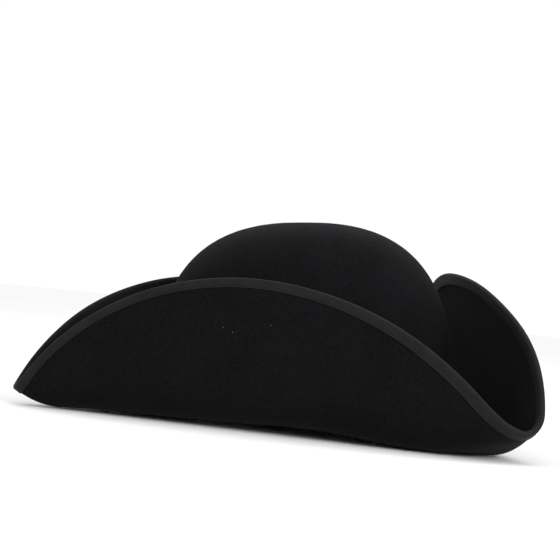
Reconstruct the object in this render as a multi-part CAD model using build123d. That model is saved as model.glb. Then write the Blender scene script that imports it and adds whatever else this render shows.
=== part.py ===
from build123d import *
import os
from math import atan2, cos, pi, radians, sin

# A three-cornered felt hat, in millimetres. +Z is up through the crown, -Y is the
# front corner and +X the wearer's left. The origin is under the middle of the finished
# hat, on the table that it stands on. While a piece is drawn the origin is the middle of
# the head opening instead, where the flat felt of the brim leaves the crown.
#
# The hat is one hood of wool felt, blocked into a dome and a flat round brim. The brim
# is then folded up along three lines, so that it makes a left, a right and a back flap
# with a corner between each two. A folded ribbon binds the cut edge, a second ribbon
# goes round the foot of the crown, and a sweatband lines the head opening.

# Felt
FELT = 2.6                 # thickness of the felt
CROWN_LENGTH = 208.0       # outside, front to back, at the foot of the crown
CROWN_WIDTH = 176.0
CROWN_HEIGHT = 135.0
DOME_POWER_UP = 3.2        # the dome is a superellipse: how square its top is
DOME_POWER_OUT = 2.5       # and how square its sides are
DOME_SHIFT = -4.5          # how far the top stands behind the middle; in front if negative
DOME_TILT = 0.04           # how much taller the back of the dome is than its middle
BREAK_RADIUS = 5.0         # the bend from the crown into the brim, on the top side
SPLIT_GAP = 0.1            # kept between crown and brim, which are two nodes but one hood

# Brim: its flat width changes a little round the hat
BRIM_WIDTH = 110.5         # from the crown's outer face to the cut edge, before folding
BRIM_FRONT_CHANGE = -8.7   # added at the front, taken off at the back
BRIM_CORNER_CHANGE = 1.4   # added at the corners, taken off between them
FRONT_TRIM = 6.5           # taken off near the front corner
BACK_TRIM = 3.0            # taken off in the middle of the back flap

# Flaps: the angle of each from the front, how far out its fold begins, the radius and
# the angle of the fold, and the radius of the gentler curl above it
SIDE_FLAP = dict(angle=57.5, start=88.0, fold_radius=26.0, fold=83.0, curl_radius=200.0)
BACK_FLAP = dict(angle=180.0, start=105.0, fold_radius=15.0, fold=77.5, curl_radius=110.0)

# Corners: the felt between the flaps sags, and rises again to the tip
CORNER_NARROWNESS = 4      # a higher power keeps the sag nearer to the corner's own line
FRONT_CORNER = dict(angle=0.0, sag=-1.3, tip_rise=-2.5)
REAR_CORNER = dict(angle=133.0, sag=12.0, tip_rise=6.5)

# Edge binding: a grosgrain ribbon folded over the cut edge
BINDING_WIDTH = 5.2        # how far each leg of the ribbon reaches in from the cut edge
BINDING_THICK = 0.6
SEWN_GAP = 0.35            # kept between pieces that are sewn face to face
BINDING_CENTRE = 0.5       # the fold of the ribbon turns about a line this far in from the edge

# Band round the foot of the crown, with a flat bow on the wearer's left
BAND_FROM, BAND_TO = 8.0, 21.0             # heights of its two edges
BAND_THICK = 0.8
BOW_ANGLE = 90.0
BOW_LOOP = 15.0            # degrees of the crown that one loop of the bow covers
BOW_KNOT = 5.0             # degrees that the knot covers
BOW_LOOP_THICK = 1.6
BOW_KNOT_THICK = 2.2
BOW_MARGIN = 1.2           # the knot is higher than the band by this, above and below

# Sweatband and the reed in its sewn edge
SWEAT_FROM, SWEAT_TO = -1.0, 35.0          # heights of its two edges
SWEAT_THICK = 0.9
SWEAT_GAP = 0.3            # between the felt and the sweatband
REED_DIAMETER = 1.6
REED_HEIGHT = -0.6
REED_INSET = 2.0           # from the crown's outer face to the middle of the reed

# At rest the hat stands on its front and on its two rear corners, which pitches it forward
REST_PITCH = 2.55

# Sampling of the free-form faces
AROUND = 61                # points round half of a gridded face
ACROSS = 21                # points across the felt of the dome or the brim
STATIONS = 61              # sections in half of a lofted ring
FIT = 0.01
STEP = 0.05                # step of the numerical tangents

HALF_LENGTH = CROWN_LENGTH / 2
HALF_WIDTH = CROWN_WIDTH / 2
BEND = BREAK_RADIUS + FELT / 2             # bend of the middle of the felt
BEND_ARC = BEND * pi / 2
FOOT = BEND                                # height where the crown meets the bend
FLAPS = [SIDE_FLAP, dict(SIDE_FLAP, angle=-SIDE_FLAP["angle"]), BACK_FLAP]
CORNERS = [FRONT_CORNER, REAR_CORNER, dict(REAR_CORNER, angle=-REAR_CORNER["angle"])]


def outward(angle):
    """Level unit vector at an angle in degrees from the front, towards the wearer's left."""
    return Vector(sin(radians(angle)), -cos(radians(angle)), 0)


def oval(angle, inset=0.0):
    """Distance from the middle to the crown's oval, made smaller all round by inset."""
    across = sin(radians(angle)) / (HALF_WIDTH - inset)
    along = cos(radians(angle)) / (HALF_LENGTH - inset)
    return (across**2 + along**2) ** -0.5


def brim_width(angle):
    turn = radians(angle)
    trim = FRONT_TRIM * max(cos(turn), 0.0) ** 5 + BACK_TRIM * max(-cos(turn), 0.0) ** 4
    return BRIM_WIDTH + BRIM_FRONT_CHANGE * cos(turn) + BRIM_CORNER_CHANGE * cos(3 * turn) - trim


def brim_length(angle):
    """Length of the middle of the felt from the foot of the crown to the cut edge."""
    return brim_width(angle) + FELT / 2 - BEND + BEND_ARC


def folded(beyond, flap):
    """How far out and how high a point lies that was flat, that far beyond the fold's start."""
    if beyond <= 0:
        return beyond, 0.0
    radius, turn, curl = flap["fold_radius"], radians(flap["fold"]), flap["curl_radius"]
    bent = min(beyond / radius, turn)
    out, up = radius * sin(bent), radius * (1 - cos(bent))
    rest = max(beyond - radius * turn, 0.0) / curl
    out += curl * (sin(turn + rest) - sin(turn))
    up += curl * (cos(turn) - cos(turn + rest))
    return out, up


def flap_move(flat, flap):
    """Where folding one flap takes a point of the flat brim, as a movement."""
    normal = outward(flap["angle"])
    beyond = flat.dot(normal) - flap["start"]
    out, up = folded(beyond, flap)
    return normal * (out - beyond) + Vector(0, 0, up)


def corner_move(angle, share):
    """The sag and the tip rise of the corners, share of the way from the crown to the edge."""
    height = 0.0
    for corner in CORNERS:
        weight = max(cos(radians(angle - corner["angle"])), 0.0) ** CORNER_NARROWNESS
        height += weight * (corner["tip_rise"] * share**3 - corner["sag"] * sin(pi * share))
    return Vector(0, 0, height)


def brim_middle(angle, along):
    """Middle of the felt, along millimetres from the foot of the crown."""
    if along < BEND_ARC:
        out, up = BEND * (1 - cos(along / BEND)), BEND * (1 - sin(along / BEND))
    else:
        out, up = BEND + along - BEND_ARC, 0.0
    foot = outward(angle) * oval(angle, FELT / 2)
    flat = foot + outward(angle) * out
    share = out / (brim_width(angle) + FELT / 2)
    point = flat + Vector(0, 0, up) + corner_move(angle, share)
    for flap in FLAPS:
        point += flap_move(flat, flap) - flap_move(foot, flap)
    return point


def brim_frame(angle, along):
    """Point, upper-face normal and outward direction in the felt, at a place on the brim."""
    round_way = brim_middle(angle + STEP, along) - brim_middle(angle - STEP, along)
    low = max(along - STEP, 0.0)
    out_way = (brim_middle(angle, along + STEP) - brim_middle(angle, low)).normalized()
    normal = out_way.cross(round_way).normalized()
    if angle in (0.0, 180.0):
        normal = Vector(0, normal.Y, normal.Z).normalized()
    return brim_middle(angle, along), normal, round_way.cross(normal).normalized()


def brim_face_point(angle, along, side):
    """A point on the upper (side 1) or lower (side -1) face of the brim."""
    point, normal, _ = brim_frame(angle, along)
    return point + normal * (side * FELT / 2)


def dome_scale(height):
    return (1 - (height / CROWN_HEIGHT) ** DOME_POWER_UP) ** (1 / DOME_POWER_OUT)


def dome_outline(share):
    """Scale of the oval and height at a share of the way up the dome's outline."""
    first = atan2(FOOT / CROWN_HEIGHT, dome_scale(FOOT))
    slope = first + share * (pi / 2 - first)
    low, high = 0.5, 1.5
    for _ in range(50):
        middle = (low + high) / 2
        out, up = middle * cos(slope), middle * sin(slope)
        inside = max(out, 0.0) ** DOME_POWER_OUT + up**DOME_POWER_UP < 1
        low, high = (middle, high) if inside else (low, middle)
    return max(low * cos(slope), 0.0), low * sin(slope) * CROWN_HEIGHT


def crown_point(angle, scale, height, inset=0.0):
    """A point on the crown, or on a smaller crown nested inside it by inset."""
    flat = outward(angle) * oval(angle, inset) * scale
    above = height - FOOT
    back = flat.Y + DOME_SHIFT * (above / CROWN_HEIGHT) * abs(above / CROWN_HEIGHT)
    return Vector(flat.X, back, height + above * DOME_TILT * back / HALF_LENGTH)


def dome_point(angle, share, inset):
    scale, height = dome_outline(share)
    drop = inset * (height - FOOT) / (CROWN_HEIGHT - FOOT)
    return crown_point(angle, scale, height - drop, inset)


def wall_point(angle, height, inset):
    """A point on the crown's side wall at a height, inset inwards, or outwards if negative."""
    return crown_point(angle, dome_scale(max(height, 0.0)), height, inset)


def spaced(first, last, count):
    return [first + (last - first) * i / (count - 1) for i in range(count)]


def grid_face(point, rows, columns):
    """A smooth face through point(row, column)."""
    return Face.make_surface_from_array_of_points(
        [[point(row, column) for column in columns] for row in rows], tol=FIT, min_deg=3, max_deg=5
    )


def side_edges(face):
    """The two edges of a half face that don't lie in the plane of symmetry."""
    off_plane = [e for e in face.edges() if max(abs(v.X) for v in (e @ 0.3, e @ 0.7)) > 1]
    return sorted(off_plane, key=lambda e: e.length)


def ring_solid(outer, inner):
    """A closed ring from its outer and inner faces on the wearer's left, mirrored to the right."""
    walls = [
        Face.make_surface_from_curves(a, b) for a, b in zip(side_edges(outer), side_edges(inner))
    ]
    half = [outer, inner, *walls]
    return Solid(Shell(half + [face.mirror(Plane.YZ) for face in half]))


def patch_solid(outer, inner):
    """A closed patch between two four-sided faces."""
    walls = []
    for edge in outer.edges():
        twin = min(inner.edges(), key=lambda e: (e @ 0.5 - edge @ 0.5).length)
        walls.append(Face.make_surface_from_curves(edge, twin))
    return Solid(Shell([outer, inner, *walls]))


HALF_TURN = spaced(0.0, 180.0, AROUND)


def make_crown():
    shares = spaced(0.0, 1.0, ACROSS)

    def face(inset):
        return grid_face(lambda angle, share: dome_point(angle, share, inset), HALF_TURN, shares)

    return ring_solid(face(0.0), face(FELT))


def make_loft_ring(section):
    """A closed ring through section(angle), lofted on the wearer's left and mirrored."""
    loft = Solid.make_loft([section(angle) for angle in spaced(0.0, 180.0, STATIONS)])
    skin = [face for face in loft.faces() if face.bounding_box().size.X > FELT]
    return Solid(Shell(skin + [face.mirror(Plane.YZ) for face in skin]))


def brim_section(angle):
    places = spaced(SPLIT_GAP, brim_length(angle), ACROSS)
    upper, lower = [[brim_face_point(angle, along, side) for along in places] for side in (1, -1)]
    return Wire([
        Edge.make_spline(upper, parameters=spaced(0.0, 1.0, ACROSS)),
        Edge.make_line(upper[-1], lower[-1]),
        Edge.make_spline(lower, parameters=spaced(0.0, 1.0, ACROSS)),
        Edge.make_line(upper[0], lower[0]),
    ])


def make_brim():
    return make_loft_ring(brim_section)


def binding_corners(angle, radius):
    """Corners of the ribbon's section, from the end of its upper leg round to the lower one."""
    centre = brim_length(angle) - BINDING_CENTRE
    end, end_normal, _ = brim_frame(angle, centre - (BINDING_WIDTH - BINDING_CENTRE))
    turn, normal, out_way = brim_frame(angle, centre)
    upper = [end + end_normal * radius, turn + normal * radius]
    lower = [turn - normal * radius, end - end_normal * radius]
    return upper, turn + out_way * radius, lower


def binding_section(angle):
    """The ribbon's closed section: two straight legs joined by a half-round fold."""
    inner = FELT / 2 + SEWN_GAP
    lines = []
    ends = []
    for radius in (inner + BINDING_THICK, inner):
        upper, tip, lower = binding_corners(angle, radius)
        lines.append(Edge.make_line(*upper))
        lines.append(Edge.make_three_point_arc(upper[1], tip, lower[0]))
        lines.append(Edge.make_line(*lower))
        ends.append((upper[0], lower[1]))
    lines.append(Edge.make_line(ends[0][0], ends[1][0]))
    lines.append(Edge.make_line(ends[0][1], ends[1][1]))
    return Wire(lines)


def make_edge_binding():
    return make_loft_ring(binding_section)


def wall_ring(low, high, outer_inset, inner_inset):
    heights = spaced(low, high, 7)

    def face(inset):
        return grid_face(lambda angle, height: wall_point(angle, height, inset), HALF_TURN, heights)

    return ring_solid(face(outer_inset), face(inner_inset))


def wall_patch(angles, low, high, outer_inset, inner_inset):
    places, heights = spaced(*angles, 9), spaced(low, high, 5)

    def face(inset):
        return grid_face(lambda angle, height: wall_point(angle, height, inset), places, heights)

    return patch_solid(face(outer_inset), face(inner_inset))


def make_bow(middle, knot, loop, low, high, margin, face, loop_thick, knot_thick):
    """Two flat loops and a knot on a wall whose face is at inset face."""
    left = (middle + knot / 2, middle + knot / 2 + loop)
    right = (middle - knot / 2 - loop, middle - knot / 2)
    loops = [wall_patch(side, low, high, face - loop_thick, face) for side in (left, right)]
    knot_solid = wall_patch(
        (middle - knot / 2, middle + knot / 2), low - margin, high + margin, face - knot_thick, face
    )
    return loops, knot_solid


def make_reed():
    inset = REED_INSET
    path = Plane.XY.offset(REED_HEIGHT) * Edge.make_ellipse(HALF_WIDTH - inset, HALF_LENGTH - inset)
    start = Plane(origin=path @ 0, z_dir=path % 0)
    return sweep(start * Circle(REED_DIAMETER / 2), path=path)


def make_parts():
    band_face = -SEWN_GAP              # walls are measured inwards, so outwards is negative
    sweat_face = FELT + SWEAT_GAP
    (rear_loop, front_loop), knot = make_bow(
        BOW_ANGLE, BOW_KNOT, BOW_LOOP, BAND_FROM, BAND_TO, BOW_MARGIN,
        band_face - BAND_THICK - SEWN_GAP, BOW_LOOP_THICK, BOW_KNOT_THICK,
    )
    return {
        "felt_crown": make_crown(),
        "felt_brim": make_brim(),
        "edge_binding": make_edge_binding(),
        "crown_band": wall_ring(BAND_FROM, BAND_TO, band_face - BAND_THICK, band_face),
        "band_bow_front_loop": front_loop,
        "band_bow_rear_loop": rear_loop,
        "band_bow_knot": knot,
        "sweatband": wall_ring(SWEAT_FROM, SWEAT_TO, sweat_face, sweat_face + SWEAT_THICK),
        "sweatband_reed": make_reed(),
    }


def stand_at_rest(parts):
    """Pitch the hat forward onto its three feet, and centre it on the table."""
    pitched = {name: shape.rotate(Axis.X, REST_PITCH) for name, shape in parts.items()}
    box = pitched["edge_binding"].bounding_box().add(pitched["felt_brim"].bounding_box())
    move = Vector(-box.center().X, -box.center().Y, -box.min.Z)
    return {name: shape.translate(move) for name, shape in pitched.items()}


def main():
    os.makedirs("parts", exist_ok=True)
    for name, shape in stand_at_rest(make_parts()).items():
        export_step(shape, f"parts/{name}.step")


main()
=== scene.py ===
import math

import bmesh
import bpy
import numpy as np
from mathutils import Matrix, Vector


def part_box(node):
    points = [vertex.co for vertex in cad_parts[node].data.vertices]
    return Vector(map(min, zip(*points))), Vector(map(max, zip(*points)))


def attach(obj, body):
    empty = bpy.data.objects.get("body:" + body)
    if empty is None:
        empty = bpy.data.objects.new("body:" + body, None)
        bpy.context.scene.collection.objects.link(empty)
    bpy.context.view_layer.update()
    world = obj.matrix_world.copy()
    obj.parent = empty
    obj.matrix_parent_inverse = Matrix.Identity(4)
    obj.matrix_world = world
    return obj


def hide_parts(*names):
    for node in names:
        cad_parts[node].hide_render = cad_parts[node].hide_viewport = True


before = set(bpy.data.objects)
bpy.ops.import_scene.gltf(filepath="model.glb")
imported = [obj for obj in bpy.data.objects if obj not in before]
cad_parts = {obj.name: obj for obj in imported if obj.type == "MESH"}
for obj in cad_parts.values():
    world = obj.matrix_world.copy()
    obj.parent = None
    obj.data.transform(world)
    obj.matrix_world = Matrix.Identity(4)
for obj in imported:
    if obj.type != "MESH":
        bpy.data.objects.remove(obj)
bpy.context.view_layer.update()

# The looks of a three-cornered felt hat. Shapes are worked out in millimetres in the hat's
# own frame (origin in the middle of the head opening, +Z up the crown, -Y to the front
# corner, +X to the wearer's left), then pitched onto the table and scaled to metres.

MM = 0.001

# Felt hood
FELT = 2.6
HALF_LENGTH = 104.0
HALF_WIDTH = 88.0
CROWN_HEIGHT = 135.0
DOME_POWER_UP = 3.2
DOME_POWER_OUT = 2.5
DOME_SHIFT = -4.5
DOME_TILT = 0.04
BEND = 6.3
BEND_ARC = BEND * math.pi / 2
BRIM_WIDTH = 110.5
BRIM_FRONT_CHANGE = -8.7
BRIM_CORNER_CHANGE = 1.4
FRONT_TRIM = 6.5
BACK_TRIM = 3.0
SIDE_ANGLE = 57.5
SIDE_FOLD = dict(start=88.0, fold_radius=26.0, fold=83.0, curl_radius=200.0)
BACK_FOLD = dict(start=105.0, fold_radius=15.0, fold=77.5, curl_radius=110.0)
FLAPS = [
    dict(SIDE_FOLD, angle=SIDE_ANGLE),
    dict(SIDE_FOLD, angle=-SIDE_ANGLE),
    dict(BACK_FOLD, angle=180.0),
]
REAR_ANGLE = 133.0
CORNERS = [
    dict(angle=0.0, sag=-1.3, tip_rise=-2.5),
    dict(angle=REAR_ANGLE, sag=12.0, tip_rise=6.5),
    dict(angle=-REAR_ANGLE, sag=12.0, tip_rise=6.5),
]
CORNER_NARROWNESS = 4
REST_PITCH = 2.55

# Ribbons and sweatband
BINDING_WIDTH = 5.2
BINDING_CENTRE = 0.5
BINDING_INNER = FELT / 2 + 0.1
BINDING_THICK = 0.6
BAND_LOW, BAND_HIGH = 8.0, 21.0
BAND_THICK = 0.8
SEWN_GAP = 0.35
BAND_FACE = -SEWN_GAP - BAND_THICK
BOW_ANGLE = 90.0
BOW_LOOP = 15.0
BOW_KNOT = 5.0
BOW_TUCK = 0.6             # degrees of each loop hidden under the knot
BOW_FACE = BAND_FACE - 0.2
BOW_BACK = BOW_FACE - 0.05
KNOT_REACH = 1.0           # how far the knot passes the ribbon's edges
SWEAT_LOW, SWEAT_HIGH = -1.0, 35.0
SWEAT_INSET = FELT + 0.3
SWEAT_THICK = 0.9
STITCH_PITCH = 2.5
STITCH_LENGTH = 1.75
STITCH_RADIUS = 0.2
STITCH_FROM_EDGE = 1.5     # in from the ribbon's own edge
SWEAT_STITCHES = 210
SWEAT_STITCH_HEIGHT = 2.2
SWEAT_STITCH_LENGTH = 2.0
SWEAT_STITCH_RADIUS = 0.22
REED_RADIUS = 0.8
REED_HEIGHT = -0.6
REED_INSET = 2.0
# Tacks on each flap: degrees from its middle, height, and lean of the thread in radians
TACKS = [(-4.4, 61.0, 0.4), (-2.0, 58.5, 1.3), (7.0, 64.5, 0.1)]
TACK_LENGTH = 1.3
TACK_RADIUS = 0.28

# Surface of the felt
HANDLING = [(5, 0.55, 0.7), (9, 0.35, 2.1), (17, 0.2, 0.0)]  # waves round the brim, size, phase
FACE_RELIEF = 0.035
UPPER_SEED, LOWER_SEED, NAP_SEED = 7, 8, 21
SMOOTH_TOP_ROWS = 6
NAP_FIBRES = 7000
FIBRE_LENGTH = 1.5
FIBRE_RADIUS = 0.035
FIBRE_LIFT = 0.15
NAP_TOP_ROWS, NAP_EDGE_ROWS = 8, 14  # rows left without fibres at the top and the edge

# Camera
CAMERA_AZIMUTH = 79.27
CAMERA_DISTANCE = 1500.0
CAMERA_ROLL = 3.06
CAMERA_SIDEWAYS = -14.8
CAMERA_RAISE = 94.9
LENS = 138.857
SENSOR = 36

# Resolution
AROUND = 576
DOME_ROWS = 84
BRIM_ROWS = 92
BINDING_COLUMNS = 1440
RING_COLUMNS = 720
REED_COLUMNS = 360


def rad(degrees):
    return np.radians(degrees)


def outward(angle):
    """Level unit vectors at angles in degrees from the front, towards the wearer's left."""
    turn = rad(np.asarray(angle, float))
    return np.stack([np.sin(turn), -np.cos(turn), np.zeros_like(turn)], -1)


def oval(angle, inset=0.0):
    turn = rad(np.asarray(angle, float))
    across = np.sin(turn) / (HALF_WIDTH - inset)
    along = np.cos(turn) / (HALF_LENGTH - inset)
    return (across**2 + along**2) ** -0.5


def brim_width(angle):
    turn = rad(np.asarray(angle, float))
    trim = FRONT_TRIM * np.maximum(np.cos(turn), 0.0) ** 5
    trim = trim + BACK_TRIM * np.maximum(-np.cos(turn), 0.0) ** 4
    change = BRIM_FRONT_CHANGE * np.cos(turn) + BRIM_CORNER_CHANGE * np.cos(3 * turn)
    return BRIM_WIDTH + change - trim


def brim_length(angle):
    return brim_width(angle) + FELT / 2 - BEND + BEND_ARC


def flap_move(flat, flap):
    """Where folding one flap takes points of the flat brim, as movements."""
    normal = outward(flap["angle"])
    radius, turn, curl = flap["fold_radius"], rad(flap["fold"]), flap["curl_radius"]
    beyond = np.maximum(flat @ normal - flap["start"], 0.0)
    bent = np.minimum(beyond / radius, turn)
    rest = np.maximum(beyond - radius * turn, 0.0) / curl
    out = radius * np.sin(bent) + curl * (np.sin(turn + rest) - np.sin(turn))
    up = radius * (1 - np.cos(bent)) + curl * (np.cos(turn) - np.cos(turn + rest))
    return (out - beyond)[..., None] * normal + up[..., None] * np.array([0.0, 0.0, 1.0])


def corner_height(angle, share):
    height = np.zeros_like(share)
    for corner in CORNERS:
        weight = np.maximum(np.cos(rad(angle - corner["angle"])), 0.0) ** CORNER_NARROWNESS
        height = height + weight * (
            corner["tip_rise"] * share**3 - corner["sag"] * np.sin(np.pi * share)
        )
    return height


def handling(angle, share):
    """The slight unevenness of a blocked felt that has been handled, in millimetres."""
    turn = rad(angle)
    return sum(size * np.sin(waves * turn + phase) for waves, size, phase in HANDLING) * share**2


def brim_middle(angle, along):
    """Middle of the felt at angles and at distances from the foot of the crown."""
    angle, along = np.broadcast_arrays(np.asarray(angle, float), np.asarray(along, float))
    bent = np.minimum(along, BEND_ARC) / BEND
    past = np.maximum(along - BEND_ARC, 0.0)
    out = BEND * (1 - np.cos(bent)) + past
    up = BEND * (1 - np.sin(bent))
    foot = outward(angle) * oval(angle, FELT / 2)[..., None]
    flat = foot + outward(angle) * out[..., None]
    share = out / (brim_width(angle) + FELT / 2)
    point = flat.copy()
    point[..., 2] += up + corner_height(angle, share)
    for flap in FLAPS:
        point += flap_move(flat, flap) - flap_move(foot, flap)
    return point


def unit(vectors):
    return vectors / np.maximum(np.linalg.norm(vectors, axis=-1, keepdims=True), 1e-12)


def brim_frame(angle, along):
    """Points in the middle of the felt, upper-face normals, and directions along and out."""
    step = 0.1
    here = brim_middle(angle, along)
    round_way = brim_middle(angle + step, along) - brim_middle(angle - step, along)
    out_way = brim_middle(angle, along + step) - brim_middle(angle, along - step)
    normal = unit(np.cross(out_way, round_way))
    here = here + normal * handling(angle, along / brim_length(angle))[..., None]
    return here, normal, unit(round_way), unit(np.cross(round_way, normal))


def dome_scale(height):
    ratio = np.clip(height / CROWN_HEIGHT, 0.0, 1.0)
    return (1 - ratio**DOME_POWER_UP) ** (1 / DOME_POWER_OUT)


def crown_point(angle, scale, height, inset):
    angle, scale, height = np.broadcast_arrays(angle, scale, height)
    flat = outward(angle) * (oval(angle, inset) * scale)[..., None]
    above = height - BEND
    back = flat[..., 1] + DOME_SHIFT * (above / CROWN_HEIGHT) * np.abs(above / CROWN_HEIGHT)
    up = height + above * DOME_TILT * back / HALF_LENGTH
    return np.stack([flat[..., 0], back, up], -1)


def wall_point(angle, height, inset):
    return crown_point(angle, dome_scale(np.maximum(height, 0.0)), height, inset)


def dome_rows(inset):
    """Rows of the dome from its top down to the foot, on a surface inset inside the outer one."""
    angles = np.linspace(0.0, 360.0, AROUND, endpoint=False)
    first = math.atan2(BEND / CROWN_HEIGHT, float(dome_scale(np.array(BEND))))
    slopes = np.linspace(math.pi / 2, first, DOME_ROWS)
    low, high = np.full_like(slopes, 0.5), np.full_like(slopes, 1.5)
    for _ in range(50):
        middle = (low + high) / 2
        out, up = middle * np.cos(slopes), middle * np.sin(slopes)
        inside = np.maximum(out, 0.0) ** DOME_POWER_OUT + up**DOME_POWER_UP < 1
        low, high = np.where(inside, middle, low), np.where(inside, high, middle)
    scale = np.maximum(low * np.cos(slopes), 0.0)
    height = low * np.sin(slopes) * CROWN_HEIGHT
    drop = inset * (height - BEND) / (CROWN_HEIGHT - BEND)
    return crown_point(angles[None, :], scale[:, None], (height - drop)[:, None], inset)


# Placement ----------------------------------------------------------------------------


def pitched(points):
    turn = rad(REST_PITCH)
    y = points[..., 1] * np.cos(turn) - points[..., 2] * np.sin(turn)
    z = points[..., 1] * np.sin(turn) + points[..., 2] * np.cos(turn)
    return np.stack([points[..., 0], y, z], -1)


def find_shift():
    """The move, in metres, that lays the pitched crown over the CAD crown."""
    angles = np.linspace(0.0, 360.0, AROUND, endpoint=False)
    tops = pitched(dome_rows(0.0)) * MM
    low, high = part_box("felt_crown")
    box_low, box_high = tops.reshape(-1, 3).min(0), tops.reshape(-1, 3).max(0)
    middle = (np.array(low) + np.array(high)) / 2 - (box_low + box_high) / 2
    return np.array([0.0, middle[1], high[2] - box_high[2]])


SHIFT = find_shift()


def place(points):
    return pitched(np.asarray(points, float)) * MM + SHIFT


# Mesh building ------------------------------------------------------------------------


def add_object(name, verts, faces, uvs=None):
    mesh = bpy.data.meshes.new(name)
    mesh.from_pydata([tuple(v) for v in verts], [], faces)
    mesh.polygons.foreach_set("use_smooth", [True] * len(mesh.polygons))
    if uvs is not None:
        layer = mesh.uv_layers.new(name="UVMap")
        layer.data.foreach_set("uv", np.asarray(uvs, np.float32).ravel())
    mesh.update()
    obj = bpy.data.objects.new(name, mesh)
    bpy.context.scene.collection.objects.link(obj)
    return obj


def grid_object(name, grid, wrap_rows=False, wrap_columns=True, pole_first=False, pole_last=False):
    """A mesh through grid[row, column], in millimetres; UVs are millimetres along and across."""
    rows, columns = grid.shape[:2]
    verts = place(grid.reshape(-1, 3))
    along = np.linalg.norm(np.diff(grid, axis=1, append=grid[:, :1]), axis=-1).mean(0)
    across = np.linalg.norm(np.diff(grid, axis=0, append=grid[:1]), axis=-1).mean(1)
    u = np.concatenate([[0.0], np.cumsum(along)])
    v = np.concatenate([[0.0], np.cumsum(across)])
    row_steps = rows if wrap_rows else rows - 1
    column_steps = columns if wrap_columns else columns - 1
    faces, uvs = [], []
    for i in range(row_steps):
        k = (i + 1) % rows
        for j in range(column_steps):
            m = (j + 1) % columns
            corners = [(i, j, i, j), (k, j, i + 1, j), (k, m, i + 1, j + 1), (i, m, i, j + 1)]
            if pole_first and i == 0:
                corners.pop(3)
                corners[0] = (0, 0, i, j)
            if pole_last and i == row_steps - 1:
                corners.pop(2)
                corners[1] = (rows - 1, 0, i + 1, j)
            faces.append([a * columns + b for a, b, _, _ in corners])
            uvs.extend((u[d], v[c]) for _, _, c, d in corners)
    obj = add_object(name, verts, faces, uvs)
    if pole_first or pole_last:
        drop_loose(obj.data)
    return obj


def drop_loose(mesh):
    """Removes the vertices that no face uses."""
    used = np.zeros(len(mesh.vertices), bool)
    loops = np.zeros(len(mesh.loops), np.int32)
    mesh.loops.foreach_get("vertex_index", loops)
    used[loops] = True
    work = bmesh.new()
    work.from_mesh(mesh)
    work.verts.ensure_lookup_table()
    loose = [work.verts[i] for i in np.nonzero(~used)[0]]
    bmesh.ops.delete(work, geom=loose, context="VERTS")
    work.to_mesh(mesh)
    work.free()


def capsules_object(name, centres, directions, normals, length, radius, sides=6, rings=5):
    """Many small stitches in one mesh, each a rounded rod along its direction."""
    fullness, end_girth = 0.6, 0.25
    verts, faces = [], []
    turns = np.linspace(0.0, 2 * np.pi, sides, endpoint=False)
    lift = np.linspace(-1.0, 1.0, rings)
    girth = np.sqrt(np.maximum(1 - lift**2, 0.0)) ** fullness
    girth[[0, -1]] = end_girth
    for centre, direction, normal in zip(centres, directions, normals):
        side = np.cross(direction, normal)
        start = len(verts)
        for place_on, thick in zip(lift, girth):
            middle = centre + direction * (place_on * length / 2)
            for turn in turns:
                spoke = normal * math.cos(turn) + side * math.sin(turn)
                verts.append(middle + spoke * (radius * thick))
        for i in range(rings - 1):
            for j in range(sides):
                m = (j + 1) % sides
                a, b = start + i * sides, start + (i + 1) * sides
                faces.append([a + j, b + j, b + m, a + m])
        faces.append([start + j for j in range(sides)])
        last = start + (rings - 1) * sides
        faces.append([last + sides - 1 - j for j in range(sides)])
    return add_object(name, place(np.array(verts)), faces)


def finish_piece(obj, material, slot, *nodes):
    obj.data.materials.clear()
    obj.data.materials.append(material)
    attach(obj, "root")
    if nodes:
        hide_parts(*nodes)
    return obj


# Pieces -------------------------------------------------------------------------------


def hood_middle():
    """Middle of the felt from the top of the dome to the cut edge, as grid[row, column]."""
    angles = np.linspace(0.0, 360.0, AROUND, endpoint=False)
    dome = dome_rows(FELT / 2)
    share = np.linspace(0.0, 1.0, BRIM_ROWS + 1)[1:, None]
    along = share * brim_length(angles)[None, :]
    grid_angles = np.broadcast_to(angles, along.shape)
    brim = brim_middle(grid_angles, along)
    round_way = np.roll(brim, -1, 1) - np.roll(brim, 1, 1)
    brim_all = np.concatenate([dome[-1:], brim])
    out_way = np.gradient(brim_all, axis=0)[1:]
    normal = unit(np.cross(out_way, round_way))
    brim = brim + normal * handling(grid_angles, np.broadcast_to(share, along.shape))[..., None]
    return np.concatenate([dome, brim])


def grid_normals(grid):
    down = np.gradient(grid, axis=0)
    round_way = np.roll(grid, -1, 1) - np.roll(grid, 1, 1)
    normal = unit(np.cross(down, round_way))
    normal[0] = unit(normal[1].mean(0))
    return normal


def relief(grid, seed):
    """Small random hills and hollows of the felt's face, smoothed over neighbouring points."""
    hills = np.random.default_rng(seed).normal(0.0, 1.0, grid.shape[:2])
    for _ in range(2):
        hills = (hills + np.roll(hills, 1, 0) + np.roll(hills, 1, 1) + np.roll(hills, -1, 1)) / 3
    hills = hills * FACE_RELIEF
    hills[:SMOOTH_TOP_ROWS] = 0.0
    return hills


def make_hood():
    middle = hood_middle()
    normal = grid_normals(middle)
    upper = middle + normal * (FELT / 2 + relief(middle, UPPER_SEED))[..., None]
    lower = middle - normal * (FELT / 2 + relief(middle, LOWER_SEED))[..., None]
    out = unit(middle[-1] - middle[-2])
    overhang, narrowing = 0.5, 0.7
    edge = [
        middle[-1] + out * overhang + normal[-1] * side * FELT / 2 * narrowing
        for side in (1, 0, -1)
    ]
    shell = np.concatenate([upper, np.array(edge), lower[::-1]])
    return grid_object("felt_hood", shell, pole_first=True, pole_last=True)


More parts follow.
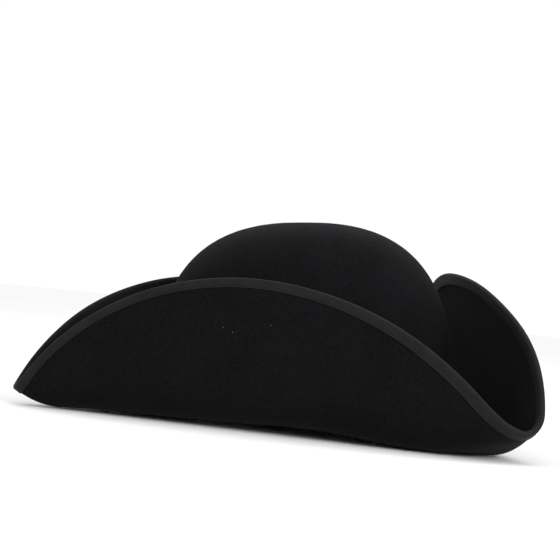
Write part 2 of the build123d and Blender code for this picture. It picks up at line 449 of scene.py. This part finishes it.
def make_nap():
    """Loose wool fibres that stand a little off both faces of the felt."""
    draw = np.random.default_rng(NAP_SEED)
    middle = hood_middle()
    normal = grid_normals(middle)
    rows = draw.integers(NAP_TOP_ROWS, middle.shape[0] - NAP_EDGE_ROWS, NAP_FIBRES)
    columns = draw.integers(0, AROUND, NAP_FIBRES)
    side = draw.choice([-1.0, 1.0], NAP_FIBRES)[:, None]
    point, away = middle[rows, columns], normal[rows, columns] * side
    level = unit(np.cross(away, draw.normal(size=(NAP_FIBRES, 3))))
    direction = unit(level + away * draw.uniform(0.05, 0.7, NAP_FIBRES)[:, None])
    drift = draw.uniform(-0.6, 0.6, NAP_FIBRES)[:, None]
    centres = point + away * (FELT / 2 + FIBRE_LIFT) + level * drift
    return capsules_object(
        "felt_nap", centres, direction, away, FIBRE_LENGTH, FIBRE_RADIUS, sides=3, rings=3
    )


def binding_grid():
    """Closed section of the folded ribbon, swept round the edge of the brim."""
    angles = np.linspace(0.0, 360.0, BINDING_COLUMNS, endpoint=False)
    centre = brim_length(angles) - BINDING_CENTRE
    leg = BINDING_WIDTH - BINDING_CENTRE
    steps = np.array([1.0, 0.965, 0.93, 0.88, 0.8, 0.65, 0.45, 0.2])
    turns = np.linspace(90.0, -90.0, 9)
    edge_bead = 0.12

    def face(radius, bead):
        rows = []
        for side in (1, -1):
            part = []
            for step in steps:
                point, normal, _, _ = brim_frame(angles, centre - leg * step)
                swell = bead * (1.0 if 0.9 < step < 0.98 else 0.0)
                part.append(point + normal * (side * (radius + swell)))
            rows.append(part)
        point, normal, _, out = brim_frame(angles, centre)
        fold = [
            point + radius * (normal * math.sin(rad(turn)) + out * math.cos(rad(turn)))
            for turn in turns
        ]
        return np.array(rows[0] + fold + rows[1][::-1])

    outer = face(BINDING_INNER + BINDING_THICK, edge_bead)
    inner = face(BINDING_INNER, 0.0)
    return np.concatenate([outer, inner[::-1]])


def make_binding():
    return grid_object("edge_ribbon", binding_grid(), wrap_rows=True)


def even_angles(along_of, pitch):
    """Angles that divide the line along_of(angle) into steps of about pitch."""
    fine = np.linspace(0.0, 360.0, 7201)
    point = brim_frame(fine, along_of(fine))[0]
    travelled = np.concatenate([[0.0], np.cumsum(np.linalg.norm(np.diff(point, axis=0), axis=1))])
    count = int(travelled[-1] / pitch)
    return np.interp(np.arange(count) * travelled[-1] / count, travelled, fine)


def make_binding_stitches():
    def line(angle):
        return brim_length(angle) - BINDING_WIDTH + STITCH_FROM_EDGE

    angles = even_angles(line, STITCH_PITCH)
    point, normal, round_way, _ = brim_frame(angles, line(angles))
    lift = BINDING_INNER + BINDING_THICK + 0.02
    centres = np.concatenate([point + normal * lift, point - normal * lift])
    directions = np.concatenate([round_way, round_way])
    normals = np.concatenate([normal, -normal])
    return capsules_object(
        "edge_stitches", centres, directions, normals, STITCH_LENGTH, STITCH_RADIUS
    )


def wall_ring_grid(low, high, outer_inset, inner_inset, roundness=0.35):
    """A closed ring on the crown's wall between two heights, with rounded top and bottom."""
    angles = np.linspace(0.0, 360.0, RING_COLUMNS, endpoint=False)[None, :]
    shares = np.array([0.0, 0.03, 0.08, 0.2, 0.35, 0.5, 0.65, 0.8, 0.92, 0.97, 1.0])
    heights = low + (high - low) * shares
    thick = inner_inset - outer_inset
    ends = roundness * thick * np.array([1, 0.3, 0, 0, 0, 0, 0, 0, 0, 0.3, 1])
    outer = wall_point(angles, heights[:, None], 0.0)
    outward_way = outward(angles[0])[None]
    outer_face = outer - outward_way * (outer_inset + ends)[:, None, None]
    inner_face = outer - outward_way * (inner_inset - ends)[:, None, None]
    return np.concatenate([outer_face[::-1], inner_face])


def make_band():
    inner_face = -0.1
    grid = wall_ring_grid(BAND_LOW, BAND_HIGH, BAND_FACE, inner_face)
    return grid_object("crown_ribbon", grid, wrap_rows=True)


def make_sweatband():
    grid = wall_ring_grid(SWEAT_LOW, SWEAT_HIGH, SWEAT_INSET, SWEAT_INSET + SWEAT_THICK)
    return grid_object("sweatband_leather", grid, wrap_rows=True)


def make_sweatband_stitches():
    """The row that sews the sweatband to the felt, just above its turned edge."""
    angles = np.linspace(0.0, 360.0, SWEAT_STITCHES, endpoint=False)
    inset = SWEAT_INSET + SWEAT_THICK + 0.03
    point = wall_point(angles, SWEAT_STITCH_HEIGHT, inset)
    ahead = wall_point(angles + 0.2, SWEAT_STITCH_HEIGHT, inset)
    return capsules_object(
        "sweatband_stitches", point, unit(ahead - point), -outward(angles),
        SWEAT_STITCH_LENGTH, SWEAT_STITCH_RADIUS
    )


def flap_point(flap_angle, sideways, height):
    """Angle and distance along the felt where a flap passes a height, sideways from its middle."""
    angle = flap_angle + sideways
    along = np.linspace(20.0, float(brim_length(angle)) - 10.0, 400)
    rise = brim_middle(np.full_like(along, angle), along)[:, 2]
    return angle, float(along[np.argmax(rise > height)])


def make_flap_tacks():
    """Short pale thread ends in the outer face of each flap."""
    centres, directions, normals = [], [], []
    for flap in FLAPS:
        for sideways, height, lean in TACKS:
            angle, along = flap_point(flap["angle"], sideways, height)
            point, normal, round_way, out = brim_frame(np.array(angle), np.array(along))
            centres.append(point - normal * (FELT / 2 + 0.1))
            directions.append(unit(round_way * math.cos(lean) + out * math.sin(lean)))
            normals.append(-normal)
    return capsules_object("flap_tacks", centres, directions, normals, TACK_LENGTH, TACK_RADIUS)


def make_bow_loop(name, side):
    """One flat loop of the bow, on the side of the knot towards the back (1) or front (-1)."""
    across = np.linspace(0.0, 1.0, 40)
    angles = BOW_ANGLE + side * (BOW_KNOT / 2 - BOW_TUCK + across * (BOW_LOOP + BOW_TUCK))
    heights = np.linspace(-1.0, 1.0, 22)
    middle, half = (BAND_LOW + BAND_HIGH) / 2, (BAND_HIGH - BAND_LOW) / 2
    pinch = 0.62 + 0.38 * np.sin(np.minimum(across / 0.55, 1.0) * np.pi / 2)
    z = middle + half * heights[:, None] * pinch[None, :]
    swell = 0.5 + 1.1 * np.sin(np.pi * np.clip(across, 0.0, 1.0)) ** 0.7
    crease = 1 + 0.16 * np.cos(heights[:, None] * 7.0) * (1 - across[None, :])
    stand = BOW_FACE - swell[None, :] * crease
    wall = wall_point(np.broadcast_to(angles, z.shape), z, 0.0)
    level = outward(angles)[None]
    shell = np.concatenate([wall - level * stand[..., None], (wall - level * BOW_BACK)[::-1]])
    if side < 0:
        shell = shell[:, ::-1]
    return grid_object(name, shell, wrap_rows=True, wrap_columns=False)


def make_bow_knot():
    """The band of ribbon that holds the two loops together."""
    across = np.linspace(-1.0, 1.0, 25)
    heights = np.linspace(BAND_LOW - KNOT_REACH, BAND_HIGH + KNOT_REACH, 19)
    stand = BOW_FACE - 0.5 - 1.6 * np.sqrt(np.maximum(1 - across**2, 0.0))
    waist = 1 - 0.12 * np.cos((heights - heights.mean()) / (heights[-1] - heights[0]) * np.pi)
    spread = BOW_ANGLE + across[None, :] * (BOW_KNOT / 2) * waist[:, None]
    wall = wall_point(spread, np.broadcast_to(heights[:, None], spread.shape), 0.0)
    level = outward(spread)
    face = wall - level * stand[None, :, None]
    back = wall - level * BOW_BACK
    shell = np.concatenate([face, back[::-1]])
    return grid_object("bow_knot", shell, wrap_rows=True, wrap_columns=False)


def make_reed():
    """The reed as a round ring in the sweatband's sewn edge."""
    angles = np.linspace(0.0, 360.0, REED_COLUMNS, endpoint=False)
    turns = np.linspace(0.0, 360.0, 12, endpoint=False)
    rows = []
    for turn in turns:
        inset = REED_INSET - REED_RADIUS * math.cos(rad(turn))
        flat = outward(angles) * oval(angles, inset)[..., None]
        flat[..., 2] = REED_HEIGHT + REED_RADIUS * math.sin(rad(turn))
        rows.append(flat)
    return grid_object("reed_ring", np.array(rows), wrap_rows=True)


# Materials ----------------------------------------------------------------------------


class Nodes:
    """A short way to write a material's node tree."""

    def __init__(self, name):
        self.material = bpy.data.materials.new(name)
        self.material.use_nodes = True
        self.tree = self.material.node_tree
        self.shader = self.tree.nodes["Principled BSDF"]

    def add(self, kind, inputs=None, **settings):
        node = self.tree.nodes.new(kind)
        for key, value in settings.items():
            setattr(node, key, value)
        for key, value in (inputs or {}).items():
            if isinstance(value, bpy.types.NodeSocket):
                self.tree.links.new(value, node.inputs[key])
            else:
                node.inputs[key].default_value = value
        return node

    def set(self, **values):
        for key, value in values.items():
            self.shader.inputs[key.replace("_", " ")].default_value = value

    def link(self, output, name):
        self.tree.links.new(output, self.shader.inputs[name])


def ramp(nodes, factor, dark, light, low=0.3, high=0.7):
    node = nodes.add("ShaderNodeValToRGB", {"Fac": factor})
    node.color_ramp.elements[0].position = low
    node.color_ramp.elements[0].color = (*dark, 1)
    node.color_ramp.elements[1].position = high
    node.color_ramp.elements[1].color = (*light, 1)
    return node.outputs["Color"]


def noise(nodes, vector, scale, detail=4.0, roughness=0.6, distortion=0.0):
    node = nodes.add(
        "ShaderNodeTexNoise",
        {"Vector": vector, "Scale": scale, "Detail": detail, "Roughness": roughness,
         "Distortion": distortion},
    )
    return node.outputs["Fac"]


def bump(nodes, height, strength, distance, below=None):
    inputs = {"Height": height, "Strength": strength, "Distance": distance}
    if below is not None:
        inputs["Normal"] = below
    return nodes.add("ShaderNodeBump", inputs).outputs["Normal"]


def mix_values(nodes, operation, a, b):
    return nodes.add("ShaderNodeMath", {0: a, 1: b}, operation=operation).outputs[0]


def felt_material():
    nodes = Nodes("wool_felt")
    where = nodes.add("ShaderNodeTexCoord").outputs["Object"]
    cloud = noise(nodes, where, 30.0, 5.0, 0.65)
    mottled = noise(nodes, where, 640.0, 5.0, 0.75, 0.3)
    fibres = noise(nodes, where, 1600.0, 5.0, 0.8, 1.2)
    stretched = nodes.add("ShaderNodeMapping", {"Vector": where, "Scale": (1.0, 3.2, 1.6),
                                            "Rotation": (0.5, 0.3, 0.9)}).outputs["Vector"]
    hairs = noise(nodes, stretched, 900.0, 3.0, 0.6, 2.5)
    tone = mix_values(nodes, "MULTIPLY", cloud, 0.15)
    tone = mix_values(nodes, "ADD", tone, mix_values(nodes, "MULTIPLY", mottled, 0.5))
    tone = mix_values(nodes, "ADD", tone, mix_values(nodes, "MULTIPLY", fibres, 0.35))
    base = ramp(nodes, tone, (0.001, 0.001, 0.0013), (0.0084, 0.0084, 0.0094), 0.36, 0.66)
    nodes.link(base, "Base Color")
    soft = bump(nodes, mottled, 0.5, 0.0007)
    rough = bump(nodes, fibres, 0.6, 0.0004, soft)
    nodes.link(bump(nodes, hairs, 0.5, 0.0003, rough), "Normal")
    nodes.set(Roughness=0.95, Specular_IOR_Level=0.04, Sheen_Weight=0.055, Sheen_Roughness=0.3,
          Sheen_Tint=(0.55, 0.55, 0.6, 1.0))
    return nodes.material


def ribbon_material(name, dark, light, rib_scale):
    nodes = Nodes(name)
    uv = nodes.add("ShaderNodeTexCoord").outputs["UV"]
    where = nodes.add("ShaderNodeTexCoord").outputs["Object"]
    ribs = nodes.add("ShaderNodeTexWave", {"Vector": uv, "Scale": rib_scale, "Distortion": 0.6,
                                       "Detail": 1.0, "Detail Scale": 1.5},
                 wave_type="BANDS", bands_direction="X").outputs["Fac"]
    weft = nodes.add("ShaderNodeTexWave", {"Vector": uv, "Scale": 0.75, "Distortion": 0.8,
                                       "Detail": 1.0, "Detail Scale": 2.0},
                 wave_type="BANDS", bands_direction="Y").outputs["Fac"]
    cloud = noise(nodes, where, 90.0, 5.0, 0.7)
    tone = mix_values(nodes, "ADD", mix_values(nodes, "MULTIPLY", ribs, 0.45),
                      mix_values(nodes, "MULTIPLY", cloud, 0.55))
    nodes.link(ramp(nodes, tone, dark, light, 0.2, 0.8), "Base Color")
    under = bump(nodes, ribs, 0.6, 0.0003)
    woven = bump(nodes, weft, 0.25, 0.00012, under)
    nodes.link(bump(nodes, noise(nodes, where, 2200.0, 3.0), 0.2, 0.0001, woven), "Normal")
    nodes.set(Roughness=0.7, Specular_IOR_Level=0.12, Sheen_Weight=0.05, Sheen_Roughness=0.35,
          Sheen_Tint=(0.6, 0.6, 0.64, 1.0))
    return nodes.material


def thread_material(name, dark, light):
    nodes = Nodes(name)
    where = nodes.add("ShaderNodeTexCoord").outputs["Object"]
    twist = nodes.add("ShaderNodeTexWave", {"Vector": where, "Scale": 1400.0, "Distortion": 1.0},
                  wave_type="BANDS", bands_direction="DIAGONAL").outputs["Fac"]
    nodes.link(ramp(nodes, twist, dark, light), "Base Color")
    nodes.link(bump(nodes, twist, 0.4, 0.0001), "Normal")
    nodes.set(Roughness=0.6, Specular_IOR_Level=0.12, Sheen_Weight=0.03, Sheen_Roughness=0.4)
    return nodes.material


def leather_material():
    nodes = Nodes("sweatband_leather")
    where = nodes.add("ShaderNodeTexCoord").outputs["Object"]
    cells = nodes.add("ShaderNodeTexVoronoi", {"Vector": where, "Scale": 900.0},
                  feature="DISTANCE_TO_EDGE").outputs["Distance"]
    cloud = noise(nodes, where, 60.0, 5.0)
    nodes.link(ramp(nodes, cloud, (0.012, 0.0095, 0.008), (0.026, 0.02, 0.0165)), "Base Color")
    grain = bump(nodes, cells, 0.4, 0.0003)
    nodes.link(bump(nodes, noise(nodes, where, 500.0), 0.2, 0.0002, grain), "Normal")
    worn = nodes.add("ShaderNodeMapRange", {"Value": cloud, "To Min": 0.42, "To Max": 0.6})
    nodes.link(worn.outputs["Result"], "Roughness")
    nodes.set(Specular_IOR_Level=0.4)
    return nodes.material


# Build --------------------------------------------------------------------------------

FELT_LOOK = felt_material()
RIBBON_LOOK = ribbon_material("grosgrain", (0.0016, 0.0016, 0.0019), (0.0128, 0.0128, 0.0137), 0.26)
THREAD_LOOK = thread_material("black_thread", (0.0008, 0.0008, 0.001), (0.0035, 0.0035, 0.004))
LEATHER_LOOK = leather_material()
TACK_LOOK = thread_material("grey_thread", (0.03, 0.03, 0.03), (0.09, 0.09, 0.09))
CANE_LOOK = thread_material("covered_reed", (0.008, 0.007, 0.006), (0.02, 0.017, 0.015))

finish_piece(make_hood(), FELT_LOOK, "felt", "felt_crown", "felt_brim")
finish_piece(make_nap(), FELT_LOOK, "felt")
finish_piece(make_binding(), RIBBON_LOOK, "grosgrain", "edge_binding")
finish_piece(make_binding_stitches(), THREAD_LOOK, "grosgrain")
finish_piece(make_band(), RIBBON_LOOK, "grosgrain", "crown_band")
finish_piece(make_sweatband(), LEATHER_LOOK, "leather", "sweatband")
finish_piece(make_sweatband_stitches(), THREAD_LOOK, "leather")
finish_piece(make_flap_tacks(), TACK_LOOK, "felt")
finish_piece(make_reed(), CANE_LOOK, "reed", "sweatband_reed")
rear_loop, front_loop = make_bow_loop("bow_rear_loop", 1), make_bow_loop("bow_front_loop", -1)
finish_piece(rear_loop, RIBBON_LOOK, "grosgrain", "band_bow_rear_loop")
finish_piece(front_loop, RIBBON_LOOK, "grosgrain", "band_bow_front_loop")
finish_piece(make_bow_knot(), RIBBON_LOOK, "grosgrain", "band_bow_knot")


# Stage --------------------------------------------------------------------------------


def make_floor():
    bpy.ops.mesh.primitive_circle_add(vertices=96, radius=14.0, fill_type="NGON")
    floor = bpy.context.object
    floor.name = "floor"
    nodes = Nodes("floor_paint")
    where = nodes.add("ShaderNodeTexCoord").outputs["Object"]
    paint = ramp(nodes, noise(nodes, where, 3.0), (0.9, 0.9, 0.9), (0.93, 0.93, 0.93))
    nodes.link(paint, "Base Color")
    nodes.set(Roughness=0.9, Specular_IOR_Level=0.1)
    floor.data.materials.append(nodes.material)


def add_light(name, place_m, size, power):
    data = bpy.data.lights.new(name, "AREA")
    data.shape = "DISK"
    data.size = size
    data.energy = power
    light = bpy.data.objects.new(name, data)
    light.location = place_m
    light.rotation_euler = (-Vector(place_m)).to_track_quat("-Z", "Y").to_euler()
    bpy.context.scene.collection.objects.link(light)


def make_lights():
    world = bpy.data.worlds.new("studio")
    world.use_nodes = True
    world.node_tree.nodes["Background"].inputs["Color"].default_value = (1, 1, 1, 1)
    world.node_tree.nodes["Background"].inputs["Strength"].default_value = 1.03
    bpy.context.scene.world = world
    add_light("key", (2.5, 0.9, 0.7), 1.2, 56)
    add_light("top", (-0.9, 0.6, 2.5), 1.8, 11)
    bpy.context.scene.view_settings.view_transform = "Standard"


def make_camera():
    """A level camera on the wearer's left, turned in the picture so that the hat leans back."""
    turn, roll = rad(CAMERA_AZIMUTH), rad(CAMERA_ROLL)
    right = np.array([np.cos(turn), np.sin(turn), 0.0])
    forward = np.array([-np.sin(turn), np.cos(turn), 0.0])
    up = np.array([0.0, 0.0, 1.0])
    camera_right = np.cos(roll) * right + np.sin(roll) * up
    camera_up = -np.sin(roll) * right + np.cos(roll) * up
    spot = CAMERA_SIDEWAYS * camera_right + CAMERA_RAISE * camera_up - CAMERA_DISTANCE * forward
    axes = [pitched(way) for way in (camera_right, camera_up, -forward)]
    data = bpy.data.cameras.new("camera")
    data.lens = LENS
    data.sensor_width = SENSOR
    data.clip_end = 100
    camera = bpy.data.objects.new("camera", data)
    matrix = Matrix.Identity(4)
    for column, axis in enumerate([*axes, place(spot)]):
        for row in range(3):
            matrix[row][column] = float(axis[row])
    camera.matrix_world = matrix
    bpy.context.scene.collection.objects.link(camera)
    bpy.context.scene.camera = camera


make_floor()
make_lights()
make_camera()
